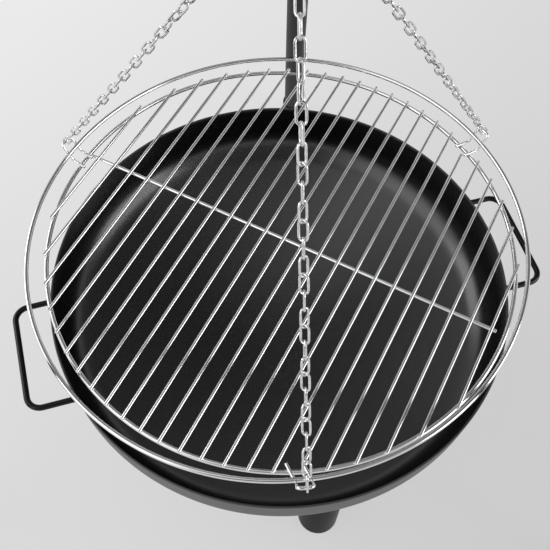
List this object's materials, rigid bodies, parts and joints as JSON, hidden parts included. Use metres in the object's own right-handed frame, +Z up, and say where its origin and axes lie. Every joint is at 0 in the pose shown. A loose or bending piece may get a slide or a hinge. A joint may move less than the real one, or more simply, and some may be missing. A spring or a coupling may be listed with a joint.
{
  "type": "fire pit grill",
  "caption": "Round steel fire bowl on tube feet under a height-adjustable wire grill grate hung by chains from a tripod.",
  "frame": {"origin": "on the ground, at the middle of the outline's bounding box", "axes": "+Z up; +Y towards the tripod's back leg; +X to the right seen from the front, between the other two legs"},
  "size_m": [1.0678, 0.9298, 1.6192],
  "materials": {
    "lacquered_steel": "semi-matt black heat-resistant lacquer",
    "chromed_wire": "polished",
    "zinc_plated_steel": "zinc plated",
    "black_plastic": "matt"
  },
  "bodies": {
    "stand": {"fire_bowl": "lacquered_steel", "bowl_foot_1": "lacquered_steel", "bowl_foot_2": "lacquered_steel", "bowl_foot_3": "lacquered_steel", "bowl_handle_left": "lacquered_steel", "bowl_handle_right": "lacquered_steel", "tripod_head": "lacquered_steel", "tripod_leg_back": "lacquered_steel", "tripod_leg_left": "lacquered_steel", "tripod_leg_right": "lacquered_steel", "leg_cap_back": "black_plastic", "leg_cap_left": "black_plastic", "leg_cap_right": "black_plastic", "leg_screw_back": "zinc_plated_steel", "leg_screw_left": "zinc_plated_steel", "leg_screw_right": "zinc_plated_steel"},
    "pin": {"chain_pin": "zinc_plated_steel"},
    "hoist": {"hoist_chain": "chromed_wire", "hanging_ring": "zinc_plated_steel"},
    "grate": {"grate_chain_front": "chromed_wire", "grate_chain_left": "chromed_wire", "grate_chain_right": "chromed_wire", "bracket_front": "chromed_wire", "bracket_left": "chromed_wire", "bracket_right": "chromed_wire", "grate_ring": "chromed_wire", "raised_ring": "chromed_wire", "grate_bar_01": "chromed_wire", "grate_bar_02": "chromed_wire", "grate_bar_03": "chromed_wire", "grate_bar_04": "chromed_wire", "grate_bar_05": "chromed_wire", "grate_bar_06": "chromed_wire", "grate_bar_07": "chromed_wire", "grate_bar_08": "chromed_wire", "grate_bar_09": "chromed_wire", "grate_bar_10": "chromed_wire", "grate_bar_11": "chromed_wire", "grate_bar_12": "chromed_wire", "grate_bar_13": "chromed_wire", "grate_bar_14": "chromed_wire", "grate_bar_15": "chromed_wire", "grate_bar_16": "chromed_wire", "grate_bar_17": "chromed_wire", "grate_bar_18": "chromed_wire", "grate_bar_19": "chromed_wire", "grate_bar_20": "chromed_wire", "grate_bar_21": "chromed_wire", "grate_bar_22": "chromed_wire", "grate_bar_23": "chromed_wire", "cross_rod": "chromed_wire"}
  },
  "joints": [
    {"name": "turn", "type": "hinge", "parent": "stand", "child": "pin", "pos_m": [0, -0.14872, 1.5596], "axis": [0, 0, 1], "continuous": true},
    {"name": "lift", "type": "slide", "parent": "pin", "child": "hoist", "axis": [0, 0, 1], "range_m": [0, 0.204]},
    {"name": "swing", "type": "hinge", "parent": "hoist", "child": "grate", "pos_m": [0, -0.14872, 0.90485], "axis": [0, 1, 0], "range_deg": [-3.5, 3.5]}
  ]
}
